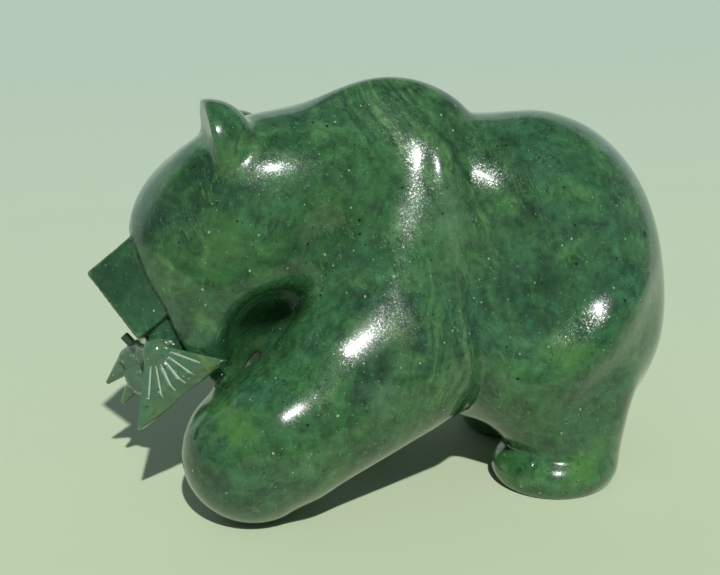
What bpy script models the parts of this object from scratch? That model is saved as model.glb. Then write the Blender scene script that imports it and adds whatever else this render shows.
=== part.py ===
import math

import bmesh
import bpy
from mathutils import Euler, Matrix, Vector

LENGTH = 0.2
SEAT_GAP = 0.0003
BEAR_FACES_KEPT = 0.046
FISH_FACES_KEPT = 0.1

# The carving is drawn in units of its length, head at -X, its left side at -Y.
DRAWN_LENGTH = 199
DRAWN_CENTRE = Vector((1.79, -3.85, 0))
UNIT = LENGTH / DRAWN_LENGTH
LEFT, RIGHT = -1, 1


class Pose:
    """A place and a turn in degrees that a group of shapes shares."""

    def __init__(self, centre, turn):
        self.centre = Vector(centre)
        self.turn = turn
        self.matrix = Euler([math.radians(angle) for angle in turn]).to_matrix()

    def at(self, x, y, z):
        return self.centre + self.matrix @ Vector((x, y, z))

    def toward(self, x, y, z):
        return self.matrix @ Vector((x, y, z))


class Form:
    """A distance field drawn with nodes, in drawing units: below zero in the stone, above zero outside it."""

    def __init__(self, name, place=(0, 0, 0)):
        self.origin = (Vector(place) - DRAWN_CENTRE) * UNIT
        self.tree = bpy.data.node_groups.new(name, "GeometryNodeTree")
        self.tree.interface.new_socket(name="Geometry", in_out="OUTPUT", socket_type="NodeSocketGeometry")
        point = self.node("GeometryNodeInputPosition").outputs[0]
        self.place = self.vector("SCALE", self.vector("SUBTRACT", point, self.origin), scale=1 / UNIT)

    def node(self, kind, *values, **settings):
        node = self.tree.nodes.new(kind)
        for name, value in settings.items():
            setattr(node, name, value)
        for socket, value in zip(node.inputs, values):
            self.feed(socket, value)
        return node

    def feed(self, socket, value):
        if isinstance(value, bpy.types.NodeSocket):
            self.tree.links.new(value, socket)
        elif value is not None:
            socket.default_value = value

    def math(self, operation, *values):
        return self.node("ShaderNodeMath", *values, operation=operation).outputs[0]

    def vector(self, operation, *values, scale=None):
        node = self.node("ShaderNodeVectorMath", *values, operation=operation)
        self.feed(node.inputs[3], scale)
        return node.outputs["Vector"]

    def measure(self, operation, *values):
        return self.node("ShaderNodeVectorMath", *values, operation=operation).outputs["Value"]

    def local(self, centre, turn):
        if turn is None:
            return self.vector("SUBTRACT", self.place, centre)
        node = self.node("ShaderNodeVectorRotate", self.place, centre, rotation_type="EULER_XYZ", invert=True)
        node.inputs["Rotation"].default_value = [math.radians(angle) for angle in turn]
        return self.vector("SUBTRACT", node.outputs[0], centre)

    def ball(self, centre, radii, turn=None):
        near = self.vector("DIVIDE", self.local(centre, turn), radii)
        reach = self.measure("LENGTH", near)
        slope = self.measure("LENGTH", self.vector("DIVIDE", near, radii))
        return self.math("DIVIDE", self.math("MULTIPLY", reach, self.math("SUBTRACT", reach, 1)), slope)

    def limb(self, start, end, start_radius, end_radius):
        along = Vector(end) - Vector(start)
        from_start = self.vector("SUBTRACT", self.place, start)
        share = self.measure("DOT_PRODUCT", from_start, along / along.length_squared)
        share = self.node("ShaderNodeClamp", share).outputs[0]
        gap = self.measure("DISTANCE", from_start, self.vector("SCALE", along, scale=share))
        return self.math("SUBTRACT", gap, self.math("MULTIPLY_ADD", share, end_radius - start_radius, start_radius))

    def block(self, centre, size, rounding, turn=None):
        core = Vector(size) / 2 - Vector((rounding, rounding, rounding))
        over = self.vector("SUBTRACT", self.vector("ABSOLUTE", self.local(centre, turn)), core)
        outside = self.measure("LENGTH", self.vector("MAXIMUM", over, (0, 0, 0)))
        parts = self.node("ShaderNodeSeparateXYZ", over).outputs
        most = self.math("MAXIMUM", parts[0], self.math("MAXIMUM", parts[1], parts[2]))
        inside = self.math("MINIMUM", most, 0)
        return self.math("SUBTRACT", self.math("ADD", outside, inside), rounding)

    def half_space(self, point, normal):
        return self.measure("DOT_PRODUCT", self.vector("SUBTRACT", self.place, point), Vector(normal).normalized())

    def join(self, first, *others, blend):
        for other in others:
            first = self.math("SMOOTH_MIN", first, other, blend)
        return first

    def trim(self, form, *tools, blend):
        for tool in tools:
            form = self.math("SMOOTH_MAX", form, tool, blend)
        return form

    def carve(self, form, *tools, blend):
        for tool in tools:
            form = self.math("SMOOTH_MAX", form, self.math("MULTIPLY", tool, -1), blend)
        return form

    def surface(self, form, low, high, grain, material):
        counts = [math.ceil((h - l) / grain) for l, h in zip(low, high)]
        corners = [Vector(corner) * UNIT + self.origin for corner in (low, high)]
        depth = self.math("SUBTRACT", 100, form)
        cube = self.node("GeometryNodeVolumeCube", depth, 0.0, *corners, *counts)
        skin = self.node("GeometryNodeVolumeToMesh", cube.outputs[0], resolution_mode="GRID")
        skin.inputs["Threshold"].default_value = 100
        mesh = skin.outputs[0]
        for _ in range(2):
            out = self.node("GeometryNodeInputNormal").outputs[0]
            step = self.vector("SCALE", out, scale=self.math("MULTIPLY", form, -UNIT))
            moved = self.node("GeometryNodeSetPosition", mesh)
            self.feed(moved.inputs["Offset"], step)
            mesh = moved.outputs[0]
        smooth = self.node("GeometryNodeSetShadeSmooth", mesh).outputs[0]
        painted = self.node("GeometryNodeSetMaterial", smooth)
        painted.inputs["Material"].default_value = material
        self.tree.links.new(painted.outputs[0], self.node("NodeGroupOutput").inputs[0])
        return self.tree


HEAD = Pose((-54.5, -7, 84), (-25, -39, -3))


def bear_form(material):
    f = Form("bear form")

    # forequarters, a hump above a deep chest, with a shoulder blade at each side
    hump = f.ball((2.5, 0, 89), (41, 19, 49))
    chest = f.ball((-8, 0, 60), (37, 34, 42))
    body = f.join(hump, chest, blend=20)
    for side in (LEFT, RIGHT):
        blade = f.ball((16.2, side * 11.5, 76), (13.4, 21.6, 46))
        body = f.join(body, blade, blend=16)
    spine = f.limb((12, 0, 102), (50, 0, 99.5), 23, 24)
    body = f.join(body, spine, blend=3)

    # hindquarters, with flanks that slope out like a roof and a ridge down each thigh
    rump = f.ball((52, 0, 59.7), (48.5, 36.2, 64.3))
    seat = f.ball((60, 0, 50), (38, 38, 34))
    belly = f.ball((30, 0, 52), (40, 34, 30))
    hind = f.join(rump, seat, belly, blend=12)
    for side in (LEFT, RIGHT):
        flank = f.limb((34, side * 3, 94), (35, side * 16, 52), 25, 23.5)
        thigh = f.ball((62.5, side * 26, 53), (11, 18.5, 32), (side * 11, 44, 0))
        hind = f.join(hind, flank, blend=10)
        hind = f.join(hind, thigh, blend=15)
    body = f.join(body, hind, blend=4)

    # the belly hangs clear of the ground between the legs
    body = f.trim(body, f.half_space((0, 0, 23), (0, 0, -1)), blend=8)

    # head and neck, and a throat and breast set back in the hollow under the left cheek
    neck = f.ball((-22.6, -3.7, 97.7), (50.6, 27.3, 31.3), (1.3, 8.8, 7.5))
    head = f.ball(HEAD.at(3, 0, 0), (32, 26, 34), HEAD.turn)
    jowl = f.ball(HEAD.at(-10, 0, -20), (26, 19, 20), HEAD.turn)
    head = f.join(head, jowl, blend=12)
    head = f.trim(head, f.half_space(HEAD.at(-23, 0, 0), HEAD.toward(-1, 0, 0.17)), blend=2)
    body = f.join(body, neck, blend=16)
    body = f.join(body, head, blend=10)
    body = f.carve(body, f.ball((-37, -48, 54), (22, 37, 25)), blend=16)
    throat = f.limb((-21, 19, 62), HEAD.at(-4, 6, -12), 19, 14)
    brisket = f.ball((-28.7, 9, 43.5), (17, 18, 17))
    body = f.join(body, throat, brisket, blend=8)
    muzzle = f.block(HEAD.at(-24.4, 0, 6.2), (26, 27, 28), 1.2, HEAD.turn)
    jaw = f.block(HEAD.at(-24, 0, -16), (22, 22, 20), 3, HEAD.turn)
    body = f.join(body, muzzle, jaw, blend=1.5)
    for side in (LEFT, RIGHT):
        ear = f.ball(HEAD.at(23, side * 18, 25), (13, 10.5, 14.5), HEAD.turn)
        cut = f.half_space(HEAD.at(21, side * 18, 25), HEAD.toward(-0.82, side * 0.38, 0.43))
        ear = f.trim(ear, cut, blend=0.6)
        body = f.join(body, ear, blend=4)

    # a dish between the cheek and the shoulder
    dish = f.ball((-21.3, -68.9, 95), (17.9, 40.1, 23.4))
    body = f.carve(body, dish, blend=10)

    # the left fore leg reaches forward, the right one stands back
    shoulder = f.ball((5.7, -12.7, 84.5), (23.5, 21.8, 35.6), (-26, 20.8, -6.6))
    upper = f.limb((7.9, -18.1, 73.8), (-20.2, -30.2, 55.2), 18.8, 15.8)
    lower = f.limb((4.4, -24.1, 50.7), (-38, -35.5, 29.8), 27.2, 24.1)
    leg = f.join(shoulder, upper, lower, blend=14)
    paw = f.limb((-38, -35.5, 29.8), (-47.7, -33, 22.6), 24.1, 23.6)
    leg = f.join(leg, paw, blend=2)
    body = f.join(body, leg, blend=8)
    upper = f.limb((8, 7, 105), (-3, 26, 64), 28, 25)
    lower = f.limb((-3, 26, 60), (-12, 27, 16), 24, 18)
    leg = f.join(upper, lower, blend=10)
    body = f.join(body, leg, blend=6)

    # hind feet
    for side in (LEFT, RIGHT):
        heel = f.limb((69, side * 22, 36), (66.5, side * 22, 6), 16, 14)
        ankle = f.limb((47, side * 21, 42), (60, side * 24, 13.5), 23.5, 15.3)
        foot = f.ball((57.5, side * 23.6, 5.4), (21.6, 20.6, 11.7))
        body = f.join(body, heel, ankle, blend=8)
        body = f.join(body, foot, blend=4)
    return f.surface(body, (-108, -68, -14), (108, 60, 146), 1.2, material)


FISH_PLACE = (-80, -6, 56)
FISH_HEAD = Pose((0, 0, 0), (0, 0, -25))
FISH_TAIL = Pose((2, -18, 2.7), (-21, 0, -26))
FIN_RAYS = 6


def fish_form(material):
    f = Form("fish form", FISH_PLACE)
    head, tail = FISH_HEAD, FISH_TAIL
    skull = f.limb(head.at(-4.5, 0, -9.5), head.at(2, 0, -4.5), 4.6, 5)
    snout = f.limb(head.at(-6.3, 0, -10.5), head.at(-14.6, 0, -19.3), 4.2, 0.8)
    chin = f.limb(head.at(-4.5, 0, -18), head.at(-9.3, 0, -25.8), 3, 0.9)
    gill = f.ball(head.at(-0.8, 0, -15.2), (7.4, 5.6, 7.4), head.turn)
    waist = f.limb(head.at(2, 0, -6), tail.at(1, 0, -2), 5.5, 4.4)
    body = f.join(skull, snout, chin, blend=2)
    body = f.join(body, gill, blend=0.6)
    body = f.join(body, waist, blend=3)
    fin = f.block(head.at(-5.6, 0, -4), (3, 1.8, 7), 0.5, (0, -45, -25))
    body = f.join(body, fin, blend=0.8)
    eye = f.ball(head.at(-8.4, -4.2, -12), (2.1, 2, 2.1), head.turn)
    body = f.carve(body, eye, blend=0.4)
    # the tail is a fan, cut from a plate and scooped along its end
    plate = f.block(tail.at(10, 0, -12), (60, 4.6, 60), 0.5, tail.turn)
    left = f.half_space(tail.at(-2.2, 0, 0), tail.toward(-1, 0, 0))
    top = f.half_space(tail.at(3.8, 0, 0.1), tail.toward(0.11, 0, 1))
    end = f.half_space(tail.at(11.5, 0, -15), tail.toward(0.69, 0, -0.72))
    plate = f.trim(plate, left, top, end, blend=1)
    scoop = f.ball(tail.at(28.3, -28.7, -33.5), (40, 40, 40))
    plate = f.carve(plate, scoop, blend=0.5)
    for ray in range(FIN_RAYS):
        angle = math.radians(-88 + 15 * ray)
        start = tail.at(7 * math.cos(angle), -2.6, 7 * math.sin(angle))
        end = tail.at(17 * math.cos(angle), -2.6, 17 * math.sin(angle))
        plate = f.carve(plate, f.limb(start, end, 0.7, 0.7), blend=0.2)
    body = f.join(body, plate, blend=2)
    return f.surface(body, (-28, -34, -38), (34, 20, 12), 0.5, material)


def jade(name, colour, roughness):
    material = bpy.data.materials.new(name)
    material.use_nodes = True
    shader = material.node_tree.nodes["Principled BSDF"]
    shader.inputs["Base Color"].default_value = (*colour, 1)
    shader.inputs["Roughness"].default_value = roughness
    return material


def group(name, cutters=False):
    collection = bpy.data.collections.new(name)
    collection.hide_render = cutters
    bpy.context.scene.collection.children.link(collection)
    return collection


def solid(name, form, faces_kept, collection):
    piece = bpy.data.objects.new(name, bpy.data.meshes.new(name))
    collection.objects.link(piece)
    piece.modifiers.new("form", "NODES").node_group = form
    fewer = piece.modifiers.new("fewer faces", "DECIMATE")
    fewer.ratio = faces_kept
    return piece


def hide(cutter):
    cutter.hide_render = True
    cutter.display_type = "WIRE"
    return cutter


def seat_cutter(form, collection):
    """The fish, grown all round by the gap that parts it from the bear."""
    cutter = solid("seat cutter", form, FISH_FACES_KEPT, collection)
    grown = cutter.modifiers.new("gap", "DISPLACE")
    grown.strength = SEAT_GAP
    grown.mid_level = 0
    return hide(cutter)


def ground_cutter(collection):
    """A block under the feet that leaves them flat soles."""
    mesh = bpy.data.meshes.new("ground cutter")
    shape = bmesh.new()
    bmesh.ops.create_cube(shape, size=2 * LENGTH, matrix=Matrix.Translation((0, 0, -LENGTH)))
    shape.to_mesh(mesh)
    shape.free()
    cutter = bpy.data.objects.new("ground cutter", mesh)
    collection.objects.link(cutter)
    return hide(cutter)


def cut(piece, cutter):
    boolean = piece.modifiers.new(cutter.name, "BOOLEAN")
    boolean.operation = "DIFFERENCE"
    boolean.solver = "EXACT"
    boolean.object = cutter


def main():
    for obj in list(bpy.data.objects):
        bpy.data.objects.remove(obj)
    carving = group("jade bear")
    cutters = group("cutters", cutters=True)
    bear = solid("bear", bear_form(jade("green jade", (0.05, 0.16, 0.06), 0.2)), BEAR_FACES_KEPT, carving)
    form = fish_form(jade("fish jade", (0.2, 0.3, 0.15), 0.2))
    solid("fish", form, FISH_FACES_KEPT, carving)
    cut(bear, seat_cutter(form, cutters))
    cut(bear, ground_cutter(cutters))


main()
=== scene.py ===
import math

import bpy
from mathutils import Euler, Matrix, Vector


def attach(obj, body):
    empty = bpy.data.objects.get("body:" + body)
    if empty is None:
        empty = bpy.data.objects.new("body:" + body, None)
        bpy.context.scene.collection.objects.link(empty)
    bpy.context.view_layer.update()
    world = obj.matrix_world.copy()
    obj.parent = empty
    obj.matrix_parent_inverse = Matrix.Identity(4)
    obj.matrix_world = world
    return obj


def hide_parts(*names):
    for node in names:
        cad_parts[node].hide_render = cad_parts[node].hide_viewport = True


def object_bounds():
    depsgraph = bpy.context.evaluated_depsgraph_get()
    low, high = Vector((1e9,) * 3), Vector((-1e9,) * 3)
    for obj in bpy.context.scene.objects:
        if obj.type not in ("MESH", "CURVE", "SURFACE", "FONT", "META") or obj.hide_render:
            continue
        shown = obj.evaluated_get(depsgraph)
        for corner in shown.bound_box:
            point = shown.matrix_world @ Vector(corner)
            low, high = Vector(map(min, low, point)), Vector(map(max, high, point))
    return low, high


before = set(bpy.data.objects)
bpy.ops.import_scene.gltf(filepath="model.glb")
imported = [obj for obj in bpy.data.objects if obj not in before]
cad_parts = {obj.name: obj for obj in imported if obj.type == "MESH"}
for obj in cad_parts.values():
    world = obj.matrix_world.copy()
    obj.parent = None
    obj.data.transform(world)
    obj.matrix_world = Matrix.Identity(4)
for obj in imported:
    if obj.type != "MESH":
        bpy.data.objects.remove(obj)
cad_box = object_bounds()

# The bear
# One block of green nephrite, sawn roughly to shape, ground on wheels and polished by hand to a gloss.
# It is drawn as a distance field, 199 units long, with its head at -X and its left side at -Y.

DRAWN_LENGTH = 199
DRAWN_CENTRE = Vector((1.79, -3.85, 0))
UNIT = (cad_box[1].x - cad_box[0].x) / DRAWN_LENGTH
LEFT, RIGHT = -1, 1
DOWN = (0, 0, -1)
BELLY_HEIGHT = 23
HAND_WAVE = 0.35
HAND_WAVE_LENGTH = 0.03
SOLE_EDGE = 0.6
BEAR_SPACE = (-108, -68, -14), (108, 60, 146)
BEAR_GRAIN = 1.15
SKIN_LEVEL = 100
SETTLING_STEPS = 2


def in_radians(turn):
    return [math.radians(angle) for angle in turn]


class Pose:
    """A place and a turn in degrees that a group of shapes shares."""

    def __init__(self, centre, turn):
        self.centre = Vector(centre)
        self.turn = turn
        self.matrix = Euler(in_radians(turn)).to_matrix()

    def at(self, x, y, z):
        return self.centre + self.matrix @ Vector((x, y, z))

    def toward(self, x, y, z):
        return self.matrix @ Vector((x, y, z))


class Nodes:
    """Short calls that add nodes to a tree, each giving back the socket that it makes."""

    def __init__(self, tree):
        self.tree = tree

    def node(self, kind, *values, **settings):
        node = self.tree.nodes.new(kind)
        for name, value in settings.items():
            setattr(node, name, value)
        for socket, value in zip(node.inputs, values):
            self.feed(socket, value)
        return node

    def feed(self, socket, value):
        if isinstance(value, bpy.types.NodeSocket):
            self.tree.links.new(value, socket)
        elif value is not None:
            socket.default_value = value

    def math(self, operation, *values):
        return self.node("ShaderNodeMath", *values, operation=operation).outputs[0]

    def vector(self, operation, *values, scale=None):
        node = self.node("ShaderNodeVectorMath", *values, operation=operation)
        self.feed(node.inputs[3], scale)
        return node.outputs["Vector"]

    def measure(self, operation, *values):
        return self.node("ShaderNodeVectorMath", *values, operation=operation).outputs["Value"]

    def between(self, share, at_none, at_all):
        """at_none where share is 0 and at_all where it is 1."""
        return self.math("MULTIPLY_ADD", share, at_all - at_none, at_none)


class Form(Nodes):
    """A distance field drawn with nodes, below zero in the stone and above zero outside it.

    Its sizes are in drawing units, and its places are counted from the place of the form.
    """

    def __init__(self, name, place=(0, 0, 0)):
        super().__init__(bpy.data.node_groups.new(name, "GeometryNodeTree"))
        self.origin = (Vector(place) - DRAWN_CENTRE) * UNIT
        self.tree.interface.new_socket(name="Geometry", in_out="OUTPUT", socket_type="NodeSocketGeometry")
        self.point = self.node("GeometryNodeInputPosition").outputs[0]
        self.place = self.vector("SCALE", self.vector("SUBTRACT", self.point, self.origin), scale=1 / UNIT)

    def local(self, centre, turn):
        if turn is None:
            return self.vector("SUBTRACT", self.place, centre)
        node = self.node("ShaderNodeVectorRotate", self.place, centre, rotation_type="EULER_XYZ", invert=True)
        node.inputs["Rotation"].default_value = in_radians(turn)
        return self.vector("SUBTRACT", node.outputs[0], centre)

    def ball(self, centre, radii, turn=None):
        """A ball, or an egg where its radii differ."""
        near = self.vector("DIVIDE", self.local(centre, turn), radii)
        reach = self.measure("LENGTH", near)
        slope = self.measure("LENGTH", self.vector("DIVIDE", near, radii))
        return self.math("DIVIDE", self.math("MULTIPLY", reach, self.math("SUBTRACT", reach, 1)), slope)

    def limb(self, start, end, start_radius, end_radius):
        """A straight rod with round ends, which may differ in thickness."""
        along = Vector(end) - Vector(start)
        from_start = self.vector("SUBTRACT", self.place, start)
        share = self.measure("DOT_PRODUCT", from_start, along / along.length_squared)
        share = self.node("ShaderNodeClamp", share).outputs[0]
        gap = self.measure("DISTANCE", from_start, self.vector("SCALE", along, scale=share))
        return self.math("SUBTRACT", gap, self.between(share, start_radius, end_radius))

    def block(self, centre, size, rounding, turn=None):
        """A box with rounded edges."""
        core = Vector(size) / 2 - Vector((rounding, rounding, rounding))
        over = self.vector("SUBTRACT", self.vector("ABSOLUTE", self.local(centre, turn)), core)
        outside = self.measure("LENGTH", self.vector("MAXIMUM", over, (0, 0, 0)))
        x, y, z = self.node("ShaderNodeSeparateXYZ", over).outputs
        inside = self.math("MINIMUM", self.math("MAXIMUM", x, self.math("MAXIMUM", y, z)), 0)
        return self.math("SUBTRACT", self.math("ADD", outside, inside), rounding)

    def half_space(self, point, normal):
        """All that lies behind a flat cut, where the normal points out of the stone."""
        from_cut = self.vector("SUBTRACT", self.place, point)
        return self.measure("DOT_PRODUCT", from_cut, Vector(normal).normalized())

    def join(self, first, *others, blend):
        for other in others:
            first = self.math("SMOOTH_MIN", first, other, blend)
        return first

    def trim(self, form, *tools, blend):
        for tool in tools:
            form = self.math("SMOOTH_MAX", form, tool, blend)
        return form

    def carve(self, form, *tools, blend):
        for tool in tools:
            form = self.math("SMOOTH_MAX", form, self.math("MULTIPLY", tool, -1), blend)
        return form

    def wave(self, form, length, height):
        """The shallow unevenness that grinding by hand leaves."""
        swell = self.node("ShaderNodeTexNoise")
        self.feed(swell.inputs["Vector"], self.point)
        swell.inputs["Scale"].default_value = 1 / length
        swell.inputs["Detail"].default_value = 1
        return self.math("ADD", form, self.math("MULTIPLY_ADD", swell.outputs["Fac"], height, -height / 2))

    def surface(self, form, low, high, grain):
        """The skin of the form as a mesh, looked for between two corners and settled onto the field."""
        counts = [math.ceil((far - near) / grain) for near, far in zip(low, high)]
        corners = [Vector(corner) * UNIT + self.origin for corner in (low, high)]
        depth = self.math("SUBTRACT", SKIN_LEVEL, form)
        empty = 0.0
        cube = self.node("GeometryNodeVolumeCube", depth, empty, *corners, *counts)
        skin = self.node("GeometryNodeVolumeToMesh", cube.outputs[0], resolution_mode="GRID")
        skin.inputs["Threshold"].default_value = SKIN_LEVEL
        mesh = skin.outputs[0]
        for _ in range(SETTLING_STEPS):
            out = self.node("GeometryNodeInputNormal").outputs[0]
            step = self.vector("SCALE", out, scale=self.math("MULTIPLY", form, -UNIT))
            moved = self.node("GeometryNodeSetPosition", mesh)
            self.feed(moved.inputs["Offset"], step)
            mesh = moved.outputs[0]
        smooth = self.node("GeometryNodeSetShadeSmooth", mesh).outputs[0]
        self.tree.links.new(smooth, self.node("NodeGroupOutput").inputs[0])
        return self.tree


HEAD = Pose((-54.5, -7, 84), (-25, -39, -3))


def bear_form():
    f = Form("bear form")

    # forequarters, a hump above a deep chest, with a shoulder blade at each side
    hump = f.ball((2.5, 0, 89), (41, 19, 49))
    chest = f.ball((-8, 0, 60), (37, 34, 42))
    body = f.join(hump, chest, blend=20)
    for side in (LEFT, RIGHT):
        blade = f.ball((16.2, side * 11.5, 76), (13.4, 21.6, 46))
        body = f.join(body, blade, blend=16)
    spine = f.limb((12, 0, 102), (50, 0, 99.5), 23, 24)
    body = f.join(body, spine, blend=3)

    # hindquarters, with flanks that slope out like a roof and a ridge down each thigh
    rump = f.ball((52, 0, 59.7), (48.5, 36.2, 64.3))
    seat = f.ball((60, 0, 50), (38, 38, 34))
    belly = f.ball((30, 0, 52), (40, 34, 30))
    hind = f.join(rump, seat, belly, blend=12)
    for side in (LEFT, RIGHT):
        flank = f.limb((34, side * 3, 94), (35, side * 16, 52), 25, 23.5)
        thigh = f.ball((62.5, side * 26, 53), (11, 18.5, 32), (side * 11, 44, 0))
        hind = f.join(hind, flank, blend=10)
        hind = f.join(hind, thigh, blend=15)
    body = f.join(body, hind, blend=4)

    # the belly hangs clear of the ground between the legs
    body = f.trim(body, f.half_space((0, 0, BELLY_HEIGHT), DOWN), blend=8)

    # head and neck, and a throat and breast set back in the hollow under the left cheek
    neck = f.ball((-22.6, -3.7, 97.7), (50.6, 27.3, 31.3), (1.3, 8.8, 7.5))
    head = f.ball(HEAD.at(3, 0, 0), (32, 26, 34), HEAD.turn)
    jowl = f.ball(HEAD.at(-10, 0, -20), (26, 19, 20), HEAD.turn)
    head = f.join(head, jowl, blend=12)
    head = f.trim(head, f.half_space(HEAD.at(-23, 0, 0), HEAD.toward(-1, 0, 0.17)), blend=2)
    body = f.join(body, neck, blend=16)
    body = f.join(body, head, blend=10)
    body = f.carve(body, f.ball((-37, -48, 54), (22, 37, 25)), blend=16)
    throat = f.limb((-21, 19, 62), HEAD.at(-4, 6, -12), 19, 14)
    brisket = f.ball((-28.7, 9, 43.5), (17, 18, 17))
    body = f.join(body, throat, brisket, blend=8)
    muzzle = f.block(HEAD.at(-24.4, 0, 6.2), (26, 27, 28), 1.2, HEAD.turn)
    jaw = f.block(HEAD.at(-24, 0, -16), (22, 22, 20), 3, HEAD.turn)
    body = f.join(body, muzzle, jaw, blend=1.5)
    for side in (LEFT, RIGHT):
        ear = f.ball(HEAD.at(23, side * 18, 25), (13, 10.5, 14.5), HEAD.turn)
        cut = f.half_space(HEAD.at(21, side * 18, 25), HEAD.toward(-0.82, side * 0.38, 0.43))
        ear = f.trim(ear, cut, blend=0.6)
        body = f.join(body, ear, blend=4)

    # a dish between the cheek and the shoulder
    dish = f.ball((-21.3, -68.9, 95), (17.9, 40.1, 23.4))
    body = f.carve(body, dish, blend=10)

    # the left fore leg reaches forward, the right one stands back
    shoulder = f.ball((5.7, -12.7, 84.5), (23.5, 21.8, 35.6), (-26, 20.8, -6.6))
    upper = f.limb((7.9, -18.1, 73.8), (-20.2, -30.2, 55.2), 18.8, 15.8)
    lower = f.limb((4.4, -24.1, 50.7), (-38, -35.5, 29.8), 27.2, 24.1)
    leg = f.join(shoulder, upper, lower, blend=14)
    paw = f.limb((-38, -35.5, 29.8), (-47.7, -33, 22.6), 24.1, 23.6)
    leg = f.join(leg, paw, blend=2)
    body = f.join(body, leg, blend=8)
    upper = f.limb((8, 7, 105), (-3, 26, 64), 28, 25)
    lower = f.limb((-3, 26, 60), (-12, 27, 16), 24, 18)
    leg = f.join(upper, lower, blend=10)
    body = f.join(body, leg, blend=6)

    # hind feet
    for side in (LEFT, RIGHT):
        heel = f.limb((69, side * 22, 36), (66.5, side * 22, 6), 16, 14)
        ankle = f.limb((47, side * 21, 42), (60, side * 24, 13.5), 23.5, 15.3)
        foot = f.ball((57.5, side * 23.6, 5.4), (21.6, 20.6, 11.7))
        body = f.join(body, heel, ankle, blend=8)
        body = f.join(body, foot, blend=4)

    # the unevenness of the hand's work all over, and soles cut flat
    body = f.wave(body, HAND_WAVE_LENGTH, HAND_WAVE)
    body = f.trim(body, f.half_space((0, 0, 0), DOWN), blend=SOLE_EDGE)
    return f.surface(body, *BEAR_SPACE, BEAR_GRAIN)


def stone(name, tree, material):
    """The polished piece as a mesh of its own, carved from a form."""
    piece = bpy.data.objects.new(name, bpy.data.meshes.new(name))
    bpy.context.scene.collection.objects.link(piece)
    piece.modifiers.new("form", "NODES").node_group = tree
    graph = bpy.context.evaluated_depsgraph_get()
    mesh = bpy.data.meshes.new_from_object(piece.evaluated_get(graph))
    piece.modifiers.clear()
    piece.data = mesh
    mesh.materials.clear()
    mesh.materials.append(material)
    return piece


class Recipe(Nodes):
    """A material or a group of its nodes, mixed from masks and colours."""

    def place(self, shift=None):
        """Where the point lies on the piece, in metres, moved aside by a shift."""
        place = self.node("ShaderNodeTexCoord").outputs["Object"]
        return place if shift is None else self.vector("ADD", place, shift)

    def turned(self, where, turn):
        node = self.node("ShaderNodeVectorRotate", where, rotation_type="EULER_XYZ")
        self.feed(node.inputs["Rotation"], turn)
        return node.outputs[0]

    def noise(self, where, per_metre, detail=3, roughness=0.5, distortion=0, output="Fac"):
        node = self.node("ShaderNodeTexNoise", where, None, per_metre, detail, roughness)
        node.inputs["Distortion"].default_value = distortion
        return node.outputs[output]

    def cells(self, where, per_metre):
        """How far the point is from the middle of its cell, and three random numbers of that cell."""
        node = self.node("ShaderNodeTexVoronoi", where, None, per_metre)
        return node.outputs["Distance"], self.node("ShaderNodeSeparateColor", node.outputs["Color"]).outputs

    def fade(self, value, start, end):
        """0 below start and 1 above end, or the other way round when end is lower."""
        return self.node("ShaderNodeMapRange", value, start, end, interpolation_type="SMOOTHSTEP").outputs[0]

    def distance(self, value, middle):
        """How far a number is from a middle one, on either side."""
        return self.math("ABSOLUTE", self.math("SUBTRACT", value, middle))

    def product(self, first, *others):
        for other in others:
            first = self.math("MULTIPLY", first, other)
        return first

    def lay(self, colour, tone, *masks):
        """A tone laid over a colour where all its masks are, plain strengths among them."""
        node = self.node("ShaderNodeMix", data_type="RGBA")
        self.feed(node.inputs[0], self.product(*masks))
        self.feed(node.inputs[6], colour)
        self.feed(node.inputs[7], tone)
        return node.outputs[2]


def new_group(name, inputs, outputs):
    """A shader group, its inputs as (name, kind, usual value) and its outputs as (name, kind)."""
    recipe = Recipe(bpy.data.node_groups.new(name, "ShaderNodeTree"))
    sockets = recipe.tree.interface
    for label, kind, usual in inputs:
        socket = sockets.new_socket(name=label, in_out="INPUT", socket_type="NodeSocket" + kind)
        socket.default_value = usual
    for label, kind in outputs:
        sockets.new_socket(name=label, in_out="OUTPUT", socket_type="NodeSocket" + kind)
    return recipe, recipe.node("NodeGroupInput").outputs, recipe.node("NodeGroupOutput").inputs


BAND_MIDDLE = 0.068
BAND_BOW = 6
BAND_WANDER = 0.016
BAND_SQUEEZE = 8
BAND_PLACE = 0.033
BAND_SPREAD = 0.04
BAND_CORE = 0.002


def grain_bands(recipe, place):
    """Long streaks that bow down the flank behind the shoulder, and where they are strong."""
    along, aside, up = recipe.node("ShaderNodeSeparateXYZ", place).outputs
    height = recipe.math("SUBTRACT", up, BAND_MIDDLE)
    across = recipe.math("ADD", along, recipe.product(height, height, BAND_BOW))
    wander = recipe.noise(place, per_metre=30)
    across = recipe.math("MULTIPLY_ADD", wander, BAND_WANDER, across)
    squeezed = recipe.product(across, BAND_SQUEEZE)
    lengths = recipe.node("ShaderNodeCombineXYZ", squeezed, aside, up).outputs[0]
    streaks = recipe.noise(lengths, per_metre=45, detail=5, roughness=0.65)
    bands = recipe.fade(streaks, start=0.36, end=0.66)
    near = recipe.fade(recipe.distance(across, BAND_PLACE), start=BAND_SPREAD, end=BAND_CORE)
    patch = recipe.fade(recipe.noise(lengths, per_metre=14, detail=1), start=0.3, end=0.6)
    return bands, recipe.product(near, patch)


# each pattern is read from its own part of the noise, so that no two of them line up
DRIFT_SHIFT = (0.83, 0.27, 0.64)
SMOKE_SHIFT = (0.71, 0.5, 0.9)
MOTTLE_SHIFT = (0.37, 0.11, 0.23)
DRIFTS_PER_CLOUD = 0.8
SMOKES_PER_CLOUD = 1.6
MOTTLES_PER_CLOUD = 6
MOTTLE_LOW, MOTTLE_HIGH = 0.3, 0.7
SMOKE_STRENGTH = 0.8


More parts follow.
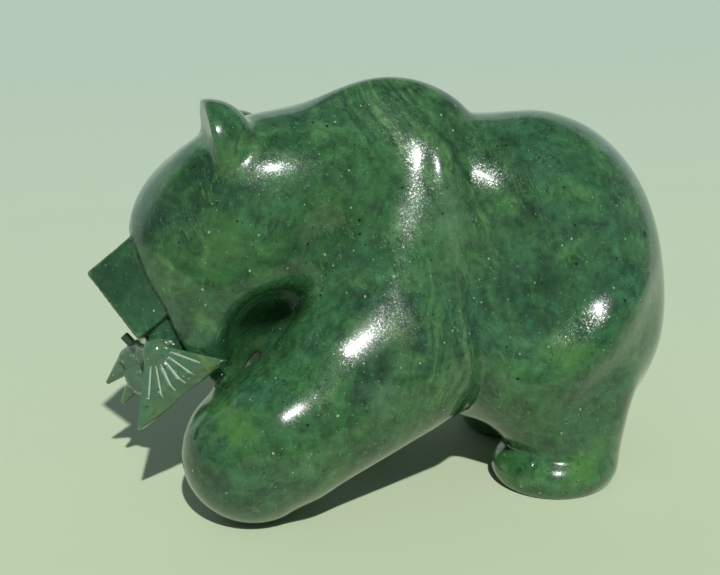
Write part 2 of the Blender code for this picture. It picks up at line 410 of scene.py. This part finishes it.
def stone_group():
    """The tones of the stone: smoky clouds, small mottling and a drift from yellow green to blue green."""
    recipe, given, out = new_group("jade tones", [
        ("Deep", "Color", (0.01, 0.05, 0.02, 1)),
        ("Body", "Color", (0.03, 0.12, 0.04, 1)),
        ("Bright", "Color", (0.08, 0.24, 0.05, 1)),
        ("Cold", "Color", (0.02, 0.10, 0.06, 1)),
        ("Cloud Size", "Float", 0.03),
        ("Banding", "Float", 0.6),
        ("Mottling", "Float", 0.5),
    ], [("Color", "Color")])
    clouds = recipe.math("DIVIDE", 1, given["Cloud Size"])
    broad = recipe.noise(recipe.place(), clouds, detail=4, roughness=0.6, distortion=0.5)
    drift = recipe.noise(recipe.place(DRIFT_SHIFT), recipe.product(clouds, DRIFTS_PER_CLOUD), detail=2)
    smoke = recipe.noise(recipe.place(SMOKE_SHIFT), recipe.product(clouds, SMOKES_PER_CLOUD),
                         detail=5, roughness=0.6, distortion=0.9)
    colour = recipe.lay(given["Body"], given["Cold"], recipe.fade(drift, start=0.4, end=0.66))
    colour = recipe.lay(colour, given["Deep"], recipe.fade(broad, start=0.52, end=0.3))
    colour = recipe.lay(colour, given["Bright"], recipe.fade(smoke, start=0.5, end=0.78), SMOKE_STRENGTH)
    bands, mask = grain_bands(recipe, recipe.place())
    streaked = recipe.lay(given["Deep"], given["Bright"], bands)
    colour = recipe.lay(colour, streaked, mask, given["Banding"])
    mottle = recipe.noise(recipe.place(MOTTLE_SHIFT), recipe.product(clouds, MOTTLES_PER_CLOUD),
                          detail=5, roughness=0.7, distortion=0.4)
    shade = recipe.node("ShaderNodeMapRange", mottle, MOTTLE_LOW, MOTTLE_HIGH, -1, 1).outputs[0]
    shade = recipe.math("MULTIPLY_ADD", shade, given["Mottling"], 1)
    recipe.feed(out["Color"], recipe.vector("SCALE", colour, scale=shade))
    return recipe.tree


CLOUD_RAGGEDNESS = 1.8


def cloud_group():
    """One soft cloud about a point, ragged at its rim."""
    recipe, given, out = new_group("jade cloudlet", [
        ("Centre", "Vector", (0, 0, 0)),
        ("Size", "Vector", (0.01, 0.01, 0.01)),
    ], [("Mask", "Float")])
    place = recipe.place()
    off = recipe.vector("DIVIDE", recipe.vector("SUBTRACT", place, given["Centre"]), given["Size"])
    ragged = recipe.noise(place, per_metre=160, detail=5, roughness=0.65, distortion=0.5)
    rim = recipe.math("MULTIPLY_ADD", ragged, CLOUD_RAGGEDNESS, recipe.measure("LENGTH", off))
    recipe.feed(out["Mask"], recipe.fade(rim, start=1.9, end=0.9))
    return recipe.tree


def specks_group():
    """Small grains scattered through the stone, one in some of the cells, ragged and of mixed sizes."""
    recipe, given, out = new_group("jade specks", [
        ("Spacing", "Float", 0.004),
        ("Radius", "Float", 0.0003),
        ("Share", "Float", 0.3),
        ("Shift", "Vector", (0, 0, 0)),
    ], [("Mask", "Float")])
    place = recipe.place(given["Shift"])
    rough = recipe.noise(place, per_metre=1100, detail=2)
    distance, chance = recipe.cells(place, recipe.math("DIVIDE", 1, given["Spacing"]))
    distance = recipe.product(distance, given["Spacing"])
    reach = recipe.product(given["Radius"], recipe.between(chance[1], 0.3, 1.7))
    reach = recipe.product(reach, recipe.between(rough, 0.2, 1.8))
    there = recipe.math("LESS_THAN", chance[0], given["Share"])
    spot = recipe.fade(recipe.math("DIVIDE", distance, reach), start=1.15, end=0.6)
    recipe.feed(out["Mask"], recipe.product(spot, there))
    return recipe.tree


VEIN_LEVEL = 0.5
VEIN_END = 0.12
BREAK_SHIFT = (0.3, 0.7, 0.1)
BREAKS_PER_SPACING = 1.6


def veins_group():
    """Hair-thin pale seams, broken up along their length."""
    recipe, given, out = new_group("jade veins", [
        ("Spacing", "Float", 0.05),
        ("Width", "Float", 0.006),
        ("Share", "Float", 0.5),
        ("Shift", "Vector", (0, 0, 0)),
    ], [("Mask", "Float")])
    place = recipe.place(given["Shift"])
    spacings = recipe.math("DIVIDE", 1, given["Spacing"])
    level = recipe.noise(place, spacings, detail=4, distortion=0.6)
    line = recipe.fade(recipe.distance(level, VEIN_LEVEL), start=given["Width"], end=0)
    broken = recipe.noise(recipe.vector("ADD", place, BREAK_SHIFT),
                          recipe.product(spacings, BREAKS_PER_SPACING), detail=2)
    start = recipe.math("SUBTRACT", 1, given["Share"])
    kept = recipe.fade(broken, start, recipe.math("ADD", start, VEIN_END))
    recipe.feed(out["Mask"], recipe.product(line, kept))
    return recipe.tree


FIBRE_BEND = 0.005
FIBRE_LEVEL = 0.75
FIBRE_SHARE = 0.3
FIBRE_EDGE = 0.12


def fibres_group():
    """Short felted fibres, which show as bright hairs and wisps where the stone is clear."""
    recipe, given, out = new_group("jade fibres", [
        ("Length", "Float", 0.006),
        ("Width", "Float", 0.0005),
        ("Share", "Float", 0.3),
        ("Turn", "Vector", (0, 0, 0)),
    ], [("Mask", "Float")])
    place = recipe.place()
    bend = recipe.noise(place, per_metre=90, roughness=0.6, output="Color")
    bend = recipe.vector("SCALE", bend, scale=FIBRE_BEND)
    bent = recipe.vector("ADD", recipe.turned(place, given["Turn"]), bend)
    thin = recipe.math("DIVIDE", 1, given["Width"])
    long = recipe.math("DIVIDE", 1, given["Length"])
    sizes = recipe.node("ShaderNodeCombineXYZ", thin, thin, long).outputs[0]
    hair = recipe.noise(recipe.vector("MULTIPLY", bent, sizes), 1, detail=2, roughness=0.6)
    start = recipe.math("SUBTRACT", FIBRE_LEVEL, recipe.product(given["Share"], FIBRE_SHARE))
    line = recipe.fade(hair, start, recipe.math("ADD", start, FIBRE_EDGE))
    patch = recipe.fade(recipe.noise(recipe.place(given["Turn"]), per_metre=55), start=0.5, end=0.68)
    recipe.feed(out["Mask"], recipe.product(line, patch))
    return recipe.tree


SCRATCH_TURNS = [(20, 35, 10), (75, -20, 40), (-40, 60, 85)]
SCRATCH_STRETCH = (1, 1, 0.03)
SCRATCH_DEPTH = 0.00002


def polish_group():
    """Hand polish, with facets of the felted grain that sparkle in the sun.

    Fine scratches cross it, and haze dulls it a little in patches.
    """
    recipe, given, out = new_group("hand polish", [
        ("Facet", "Float", 0.0004),
        ("Tilt", "Float", 0.2),
        ("Scratch", "Float", 1),
        ("Roughness", "Float", 0.3),
        ("Haze", "Float", 0.1),
    ], [("Normal", "Vector"), ("Roughness", "Float")])
    place = recipe.place()
    facets = recipe.node("ShaderNodeTexVoronoi", place, None, recipe.math("DIVIDE", 1, given["Facet"]))
    lean = recipe.vector("SUBTRACT", facets.outputs["Color"], (0.5, 0.5, 0.5))
    worn = recipe.fade(recipe.noise(place, per_metre=45, roughness=0.6), start=0.3, end=0.7)
    tilt = recipe.product(given["Tilt"], recipe.between(worn, 0.3, 1.0))
    out_of_face = recipe.node("ShaderNodeNewGeometry").outputs["Normal"]
    leaned = recipe.vector("ADD", out_of_face, recipe.vector("SCALE", lean, scale=tilt))
    height = 0.0
    for turn in SCRATCH_TURNS:
        turned = recipe.turned(place, in_radians(turn))
        stretched = recipe.vector("MULTIPLY", turned, SCRATCH_STRETCH)
        line = recipe.fade(recipe.noise(stretched, per_metre=2400, detail=1), start=0.6, end=0.7)
        patch = recipe.fade(recipe.noise(turned, per_metre=60, detail=1), start=0.45, end=0.6)
        height = recipe.math("SUBTRACT", height, recipe.product(line, patch))
    haze = recipe.noise(place, per_metre=70, detail=4)
    scratched = recipe.node("ShaderNodeBump")
    scratched.inputs["Distance"].default_value = SCRATCH_DEPTH
    recipe.feed(scratched.inputs["Height"], recipe.product(height, given["Scratch"]))
    recipe.feed(scratched.inputs["Normal"], recipe.vector("NORMALIZE", leaned))
    recipe.feed(out["Normal"], scratched.outputs["Normal"])
    recipe.feed(out["Roughness"], recipe.math("MULTIPLY_ADD", haze, given["Haze"], given["Roughness"]))
    return recipe.tree


FLAT_POINTINESS = 0.5


def edges_group():
    """Sharp rims and hollows, found from how the surface bends: a mask for a painted highlight on the rims,
    and one for the hollows.
    """
    recipe, given, out = new_group("painted edge highlight and hollows", [
        ("Reach", "Float", 0.05),
    ], [("Painted Edge Highlight", "Float"), ("Cut Lines And Crease Shade", "Float")])
    pointiness = recipe.node("ShaderNodeNewGeometry").outputs["Pointiness"]
    bend = recipe.math("SUBTRACT", pointiness, FLAT_POINTINESS)
    sharp = recipe.math("DIVIDE", bend, given["Reach"])
    # painted highlight: pale along sharp convex edges
    recipe.feed(out["Painted Edge Highlight"], recipe.fade(sharp, start=0.4, end=1.4))
    # the hollows: painted shade in the bear's creases, the pale colour of cut lines on the fish
    recipe.feed(out["Cut Lines And Crease Shade"], recipe.fade(sharp, start=-0.3, end=-1.0))
    return recipe.tree


STONE = stone_group()
CLOUDLET = cloud_group()
SPECKS = specks_group()
VEINS = veins_group()
FIBRES = fibres_group()
POLISH = polish_group()
EDGES = edges_group()

NEPHRITE = {
    "IOR": 1.6,
    "Specular IOR Level": 0.14,
    "Coat Roughness": 0.075,
    "Coat IOR": 1.6,
    "Subsurface Weight": 0.1,
    "Subsurface Radius": (0.4, 1.0, 0.4),
    "Subsurface Scale": 0.002,
}
FULL_COAT = 0.8
COARSE_COAT = 0.1
COARSE_TILT = 2


def group_in(recipe, group, **values):
    """Places a shared group in a material with this material's own values."""
    node = recipe.node("ShaderNodeGroup", node_tree=group)
    for name, value in values.items():
        recipe.feed(node.inputs[name.replace("_", " ")], value)
    return node.outputs


def jade(name, colours, looks):
    """Polished nephrite. colours are its stone tones, looks its clouds, specks, seams, cuts and finish, with
    a painted highlight on sharp edges and a tone in the hollows.
    """
    material = bpy.data.materials.new(name)
    material.use_nodes = True
    recipe = Recipe(material.node_tree)
    shader = material.node_tree.nodes["Principled BSDF"]
    colour = group_in(recipe, STONE, Deep=colours["deep"], Body=colours["body"], Bright=colours["bright"],
                      Cold=colours["cold"], Cloud_Size=looks["cloud size"], Banding=looks["banding"],
                      Mottling=looks["mottling"])["Color"]
    for tone, strength, centre, size in looks["cloudlets"]:
        mask = group_in(recipe, CLOUDLET, Centre=centre, Size=size)["Mask"]
        colour = recipe.lay(colour, colours[tone], mask, strength)
    for vein in looks["veins"]:
        mask = group_in(recipe, VEINS, **vein)["Mask"]
        colour = recipe.lay(colour, colours["vein"], mask, looks["vein strength"])
    for tone, strength, fibre in looks["fibres"]:
        mask = group_in(recipe, FIBRES, **fibre)["Mask"]
        colour = recipe.lay(colour, colours[tone], mask, strength)
    edges = group_in(recipe, EDGES, Reach=looks["edge reach"])
    # painted highlight: the pale vein tone laid along sharp edges
    colour = recipe.lay(colour, colours["vein"], edges["Painted Edge Highlight"], looks["rim"])
    # the hollow tone: painted shade on the bear, the pale colour of cut lines on the fish
    colour = recipe.lay(colour, colours["groove"], edges["Cut Lines And Crease Shade"], looks["groove"])
    for tone, speck in looks["specks"]:
        colour = recipe.lay(colour, colours[tone], group_in(recipe, SPECKS, **speck)["Mask"])
    for tone, strength, cut in looks["cuts"]:
        colour = recipe.lay(colour, colours[tone], cut(recipe), strength)
    recipe.feed(shader.inputs["Base Color"], colour)

    # where the polish is coarse, the facets lean more and little of the coat is left
    coarse = 0.0
    for centre, size in looks["coarse places"]:
        coarse = recipe.math("ADD", coarse, group_in(recipe, CLOUDLET, Centre=centre, Size=size)["Mask"])
    tilt = recipe.between(coarse, looks["tilt"], looks["tilt"] * COARSE_TILT)
    polish = group_in(recipe, POLISH, Facet=looks["facet"], Tilt=tilt, Scratch=looks["scratch"],
                      Roughness=looks["roughness"], Haze=looks["haze"])
    recipe.feed(shader.inputs["Normal"], polish["Normal"])
    recipe.feed(shader.inputs["Roughness"], polish["Roughness"])
    recipe.feed(shader.inputs["Coat Weight"], recipe.between(coarse, FULL_COAT, COARSE_COAT))
    for socket, value in NEPHRITE.items():
        shader.inputs[socket].default_value = value
    return material


green_jade = jade("green jade", {
    "deep": (0.009, 0.042, 0.018, 1),
    "body": (0.029, 0.101, 0.033, 1),
    "bright": (0.075, 0.185, 0.062, 1),
    "cold": (0.025, 0.092, 0.040, 1),
    "milky": (0.11, 0.21, 0.12, 1),
    "yellow": (0.085, 0.215, 0.04, 1),
    # the vein tone is also the painted highlight along sharp edges
    "vein": (0.20, 0.32, 0.17, 1),
    # painted shade: a dark tone laid in hollows and creases
    "groove": (0.012, 0.035, 0.018, 1),
    "black": (0.004, 0.010, 0.006, 1),
    "pale": (0.30, 0.38, 0.24, 1),
}, {
    "cloud size": 0.026,
    "banding": 0.7,
    "mottling": 0.55,
    "cloudlets": [
        ("yellow", 0.3, (-0.058, -0.031, 0.095), (0.012, 0.02, 0.015)),
        ("deep", 0.7, (-0.078, -0.02, 0.108), (0.016, 0.02, 0.012)),
        ("milky", 0.5, (0.016, -0.033, 0.100), (0.010, 0.02, 0.028)),
        ("yellow", 0.5, (-0.006, -0.05, 0.068), (0.008, 0.02, 0.010)),
        ("milky", 0.5, (-0.012, -0.052, 0.048), (0.010, 0.02, 0.007)),
        ("yellow", 0.55, (-0.058, -0.05, 0.040), (0.012, 0.02, 0.008)),
        ("deep", 0.7, (0.048, -0.034, 0.077), (0.012, 0.02, 0.010)),
        ("yellow", 0.5, (0.052, -0.042, 0.055), (0.012, 0.02, 0.010)),
        ("yellow", 0.5, (0.062, -0.04, 0.012), (0.010, 0.02, 0.008)),
        ("deep", 0.8, (0.022, -0.004, 0.131), (0.012, 0.02, 0.005)),
        ("cold", 0.8, (-0.084, -0.010, 0.072), (0.018, 0.02, 0.014)),
        ("deep", 0.9, (-0.092, -0.007, 0.079), (0.024, 0.03, 0.024)),
        # painted shade: a deep tone darkens the side of the neck, which faces away from the lamp
        ("deep", 0.4, (-0.022, -0.025, 0.089), (0.022, 0.02, 0.016)),
    ],
    "veins": [
        {"Spacing": 0.07, "Width": 0.003, "Share": 0.42},
        {"Spacing": 0.03, "Width": 0.004, "Share": 0.30, "Shift": (0.4, 0.2, 0.6)},
    ],
    "vein strength": 0.45,
    "fibres": [
        ("deep", 0.7, {"Length": 0.014, "Width": 0.0018, "Share": 0.75, "Turn": (0.1, -0.35, 0.2)}),
        ("yellow", 0.6, {"Length": 0.012, "Width": 0.0008, "Share": 0.6, "Turn": (0.3, 0.25, 0)}),
        ("milky", 0.6, {"Length": 0.008, "Width": 0.0007, "Share": 0.6, "Turn": (0.2, 0.8, 0.4)}),
        ("vein", 0.6, {"Length": 0.004, "Width": 0.0003, "Share": 0.4, "Turn": (0.9, 0.1, 0.7)}),
    ],
    # rim and groove are the strengths of the painted edge highlight and of the painted shade in hollows
    "edge reach": 0.06,
    "rim": 0.35,
    "groove": 0.3,
    "specks": [
        ("black", {"Spacing": 0.016, "Radius": 0.0008, "Share": 0.5}),
        ("black", {"Spacing": 0.0045, "Radius": 0.00036, "Share": 0.5, "Shift": (0.1, 0.3, 0.2)}),
        ("black", {"Spacing": 0.0018, "Radius": 0.00018, "Share": 0.4, "Shift": (0.7, 0.2, 0.4)}),
        ("pale", {"Spacing": 0.003, "Radius": 0.00026, "Share": 0.4, "Shift": (0.5, 0.1, 0.7)}),
        ("pale", {"Spacing": 0.0011, "Radius": 0.00011, "Share": 0.35, "Shift": (0.2, 0.8, 0.3)}),
    ],
    "cuts": [],
    "coarse places": [
        ((0.059, -0.038, 0.063), (0.016, 0.02, 0.018)),
        ((-0.001, -0.032, 0.086), (0.008, 0.02, 0.010)),
        ((0.029, -0.020, 0.110), (0.016, 0.03, 0.012)),
    ],
    "facet": 0.0003,
    "tilt": 0.13,
    "scratch": 1.0,
    "roughness": 0.18,
    "haze": 0.06,
})

bear = stone("carved_bear", bear_form(), green_jade)
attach(bear, "root")
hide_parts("bear")

# The fish
# A separate piece of lighter, yellower jade, its fins and gills engraved with a small wheel.
# It is glued into a seat cut in the bear's muzzle.

FISH_PLACE = (-80, -6, 56)
FISH_HEAD = Pose((0, 0, 0), (0, 0, -25))
FISH_TAIL = Pose((2, -18, 2.7), (-21, 0, -26))
TAIL_THICKNESS = 4.6
FIN_RAYS = 6
RAY_START = -88
RAY_STEP = 15
RAY_INNER = 7
RAY_OUTER = 17
RAY_LEVEL = -2.6
RAY_RADIUS = 0.7
FISH_SPACE = (-28, -34, -38), (34, 20, 12)
FISH_GRAIN = 0.28


def fish_form():
    f = Form("fish form", FISH_PLACE)
    head, tail = FISH_HEAD, FISH_TAIL
    skull = f.limb(head.at(-4.5, 0, -9.5), head.at(2, 0, -4.5), 4.6, 5)
    snout = f.limb(head.at(-6.3, 0, -10.5), head.at(-14.6, 0, -19.3), 4.2, 0.8)
    chin = f.limb(head.at(-4.5, 0, -18), head.at(-9.3, 0, -25.8), 3, 0.9)
    gill = f.ball(head.at(-0.8, 0, -15.2), (7.4, 5.6, 7.4), head.turn)
    waist = f.limb(head.at(2, 0, -6), tail.at(1, 0, -2), 5.5, 4.4)
    body = f.join(skull, snout, chin, blend=2)
    body = f.join(body, gill, blend=0.6)
    body = f.join(body, waist, blend=3)
    fin = f.block(head.at(-5.6, 0, -4), (3, 1.8, 7), 0.5, (0, -45, -25))
    body = f.join(body, fin, blend=0.8)
    eye = f.ball(head.at(-8.4, -4.2, -12), (2.1, 2, 2.1), head.turn)
    body = f.carve(body, eye, blend=0.4)

    # the tail is a fan, cut from a plate and scooped along its end
    plate = f.block(tail.at(10, 0, -12), (60, TAIL_THICKNESS, 60), 0.5, tail.turn)
    left = f.half_space(tail.at(-2.2, 0, 0), tail.toward(-1, 0, 0))
    top = f.half_space(tail.at(3.8, 0, 0.1), tail.toward(0.11, 0, 1))
    end = f.half_space(tail.at(11.5, 0, -15), tail.toward(0.69, 0, -0.72))
    plate = f.trim(plate, left, top, end, blend=1)
    scoop = f.ball(tail.at(28.3, -28.7, -33.5), (40, 40, 40))
    plate = f.carve(plate, scoop, blend=0.5)

    # rays spread across the near face of the tail, each a shallow groove
    for ray in range(FIN_RAYS):
        angle = math.radians(RAY_START + RAY_STEP * ray)
        start = tail.at(RAY_INNER * math.cos(angle), RAY_LEVEL, RAY_INNER * math.sin(angle))
        end = tail.at(RAY_OUTER * math.cos(angle), RAY_LEVEL, RAY_OUTER * math.sin(angle))
        plate = f.carve(plate, f.limb(start, end, RAY_RADIUS, RAY_RADIUS), blend=0.2)
    body = f.join(body, plate, blend=2)
    return f.surface(body, *FISH_SPACE, FISH_GRAIN)


def engraved_rays(recipe):
    """The pale ground bottoms of the rays in the tail, from the same tail and angles as the shape."""
    origin = (Vector(FISH_PLACE) - DRAWN_CENTRE) * UNIT
    drawn = recipe.vector("SCALE", recipe.vector("SUBTRACT", recipe.place(), origin), scale=1 / UNIT)
    turned = recipe.node("ShaderNodeMapping", drawn, vector_type="TEXTURE")
    turned.inputs["Location"].default_value = FISH_TAIL.centre
    turned.inputs["Rotation"].default_value = in_radians(FISH_TAIL.turn)
    along, behind, up = recipe.node("ShaderNodeSeparateXYZ", turned.outputs[0]).outputs
    reach = recipe.measure("LENGTH", recipe.node("ShaderNodeCombineXYZ", along, up).outputs[0])
    past_first = recipe.math("SUBTRACT", recipe.math("ARCTAN2", up, along), math.radians(RAY_START))
    ray = recipe.math("DIVIDE", past_first, math.radians(RAY_STEP))
    aside = recipe.product(recipe.distance(ray, recipe.math("ROUND", ray)), math.radians(RAY_STEP), reach)
    return recipe.product(
        recipe.fade(aside, start=0.42, end=0.1),
        recipe.fade(reach, start=RAY_INNER - 0.5, end=RAY_INNER + 1.5),
        recipe.fade(reach, start=RAY_OUTER + 0.8, end=RAY_OUTER - 1.5),
        recipe.math("LESS_THAN", behind, 0),
        recipe.math("GREATER_THAN", ray, -0.5),
        recipe.math("LESS_THAN", ray, FIN_RAYS - 0.5))


fish_jade = jade("fish jade", {
    "deep": (0.035, 0.10, 0.045, 1),
    "body": (0.055, 0.13, 0.06, 1),
    "bright": (0.11, 0.20, 0.06, 1),
    "cold": (0.06, 0.125, 0.08, 1),
    "yellow": (0.13, 0.21, 0.05, 1),
    # the vein tone is also the painted highlight along sharp edges
    "vein": (0.34, 0.42, 0.28, 1),
    # the pale colour of cut lines, laid in the hollows
    "groove": (0.42, 0.47, 0.34, 1),
    "black": (0.006, 0.012, 0.007, 1),
    "pale": (0.4, 0.45, 0.3, 1),
    "ray": (0.42, 0.50, 0.36, 1),
}, {
    "cloud size": 0.018,
    "banding": 0.0,
    "mottling": 0.2,
    "cloudlets": [
        ("yellow", 0.8, (-0.0825, -0.0385, 0.041), (0.006, 0.01, 0.006)),
        ("yellow", 0.7, (-0.062, -0.034, 0.054), (0.007, 0.01, 0.005)),
    ],
    "veins": [{"Spacing": 0.02, "Width": 0.006, "Share": 0.4}],
    "vein strength": 0.5,
    "fibres": [("bright", 0.4, {"Length": 0.005, "Width": 0.0005, "Share": 0.4, "Turn": (0.3, 0.2, 0)})],
    "edge reach": 0.06,
    # rim is the strength of the painted highlight along sharp edges
    "rim": 0.5,
    "groove": 0.75,
    "specks": [
        ("black", {"Spacing": 0.002, "Radius": 0.0003, "Share": 0.12}),
        ("pale", {"Spacing": 0.002, "Radius": 0.0002, "Share": 0.15, "Shift": (0.5, 0.1, 0.7)}),
    ],
    "cuts": [("ray", 0.8, engraved_rays)],
    "coarse places": [((-0.088, -0.015, 0.055), (0.004, 0.004, 0.004))],
    "facet": 0.0003,
    "tilt": 0.12,
    "scratch": 1.0,
    "roughness": 0.16,
    "haze": 0.06,
})

fish = stone("carved_fish", fish_form(), fish_jade)
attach(fish, "root")
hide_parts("fish")

# The sheet
# A pale matt sheet that lies flat under the carving and rises in a curve behind it.
# It is yellow green near the camera; the greyer, bluer tone further off is painted shade.

SHEET_FRONT = -0.24
SHEET_FLAT_TO = 1.15
SHEET_RISE = 0.9
SHEET_CURVE_STEPS = 16
SHEET_HALF_WIDTH = 1.1
SHEET_NEAR = (0.50, 0.59, 0.40, 1)
SHEET_FAR_PAINTED_SHADE = (0.43, 0.53, 0.45, 1)
SHEET_FADE = 0.9
SHEET_ROUGHNESS = 0.8
SHEET_SHINE = 0.2


def sheet():
    profile = [(SHEET_FRONT, 0.0)]
    for step in range(SHEET_CURVE_STEPS + 1):
        angle = math.radians(90 * step / SHEET_CURVE_STEPS)
        profile.append((SHEET_FLAT_TO + SHEET_RISE * math.sin(angle), SHEET_RISE * (1 - math.cos(angle))))
    points = [(side * SHEET_HALF_WIDTH, along, up) for along, up in profile for side in (LEFT, RIGHT)]
    faces = [(row, row + 1, row + 3, row + 2) for row in range(0, len(points) - 2, 2)]
    mesh = bpy.data.meshes.new("pale sheet")
    mesh.from_pydata(points, [], faces)
    mesh.shade_smooth()
    piece = bpy.data.objects.new("pale_sheet", mesh)
    bpy.context.scene.collection.objects.link(piece)
    material = bpy.data.materials.new("pale sheet")
    material.use_nodes = True
    shader = material.node_tree.nodes["Principled BSDF"]
    recipe = Recipe(material.node_tree)
    _, along, _ = recipe.node("ShaderNodeSeparateXYZ", recipe.place()).outputs
    # painted shade: the sheet turns greyer and bluer away from the camera
    tone = recipe.lay(SHEET_NEAR, SHEET_FAR_PAINTED_SHADE, recipe.fade(along, start=SHEET_FRONT, end=SHEET_FADE))
    recipe.feed(shader.inputs["Base Color"], tone)
    shader.inputs["Roughness"].default_value = SHEET_ROUGHNESS
    shader.inputs["Specular IOR Level"].default_value = SHEET_SHINE
    mesh.materials.append(material)
    return piece


floor = sheet()

# The lamp and the room
# One hard lamp stands high in front of the carving, so that its shadow falls behind it.
# The room is dim, with a bright panel behind and a bluish soft box in front for the polish to mirror.

LAMP_TRAVEL = Vector((0.03, 0.92, -1))
LAMP_SPREAD = math.radians(1.6)
LAMP_POWER = 3.7
LAMP_COLOUR = (1.0, 0.98, 0.95)

light = bpy.data.lights.new("key lamp", "SUN")
light.angle = LAMP_SPREAD
light.energy = LAMP_POWER
light.color = LAMP_COLOUR
lamp = bpy.data.objects.new("key lamp", light)
lamp.rotation_euler = LAMP_TRAVEL.to_track_quat("-Z", "Y").to_euler()
bpy.context.scene.collection.objects.link(lamp)

ROOM_BELOW = (0.13, 0.16, 0.12, 1)
ROOM_MIDDLE = (0.22, 0.27, 0.27, 1)
ROOM_ABOVE = (0.10, 0.13, 0.15, 1)
ROOM_HORIZON = (-0.1, 0.1)
ROOM_CEILING = (0.2, 0.6)
PANEL_COLOUR = (0.55, 0.66, 0.65, 1)
PANEL_TOP = (0.65, 0.6)
PANEL_SIDE = (0.3, 0.5)
SOFTBOX_COLOUR = (0.6, 1.1, 1.5, 1)
SOFTBOX_PLACE = (0.02, 1.12)
SOFTBOX_HALF = (0.16, 0.26)
SOFTBOX_RIM = 0.02
LEAST_AHEAD = 0.001

room = bpy.data.worlds.new("room")
room.use_nodes = True
air = Recipe(room.node_tree)
toward = air.node("ShaderNodeTexCoord").outputs["Generated"]
across, away, rise = air.node("ShaderNodeSeparateXYZ", toward).outputs
tone = air.lay(ROOM_BELOW, ROOM_MIDDLE, air.fade(rise, *ROOM_HORIZON))
tone = air.lay(tone, ROOM_ABOVE, air.fade(rise, *ROOM_CEILING))
tone = air.lay(tone, PANEL_COLOUR, air.fade(rise, *PANEL_TOP), air.fade(away, *PANEL_SIDE))
ahead = air.math("MAXIMUM", air.product(away, -1), LEAST_AHEAD)
softbox = []
for way, middle, half in zip((across, rise), SOFTBOX_PLACE, SOFTBOX_HALF):
    off = air.distance(air.math("DIVIDE", way, ahead), middle)
    softbox.append(air.fade(off, start=half, end=half - SOFTBOX_RIM))
tone = air.lay(tone, SOFTBOX_COLOUR, *softbox)
air.feed(room.node_tree.nodes["Background"].inputs["Color"], tone)
bpy.context.scene.world = room
bpy.context.scene.view_settings.view_transform = "Standard"

# The camera
# It looks a little down on the bear's left side, from slightly toward the head.

CAMERA_TURN = math.radians(-10)
CAMERA_RISE = math.radians(20)
CAMERA_DISTANCE = 0.5598
CAMERA_TARGET = Vector((-0.00682, 0.01291, 0.06231))
CAMERA_NEAREST = 0.01
LENS = 80
SENSOR_WIDTH = 36

back = Vector((math.sin(CAMERA_TURN) * math.cos(CAMERA_RISE),
               -math.cos(CAMERA_TURN) * math.cos(CAMERA_RISE),
               math.sin(CAMERA_RISE)))
right = Vector((math.cos(CAMERA_TURN), math.sin(CAMERA_TURN), 0))
facing = Matrix((right, back.cross(right), back)).transposed().to_4x4()
camera = bpy.data.objects.new("camera", bpy.data.cameras.new("camera"))
camera.data.sensor_width = SENSOR_WIDTH
camera.data.lens = LENS
camera.data.clip_start = CAMERA_NEAREST
camera.matrix_world = Matrix.Translation(CAMERA_TARGET + back * CAMERA_DISTANCE) @ facing
bpy.context.scene.collection.objects.link(camera)
bpy.context.scene.camera = camera
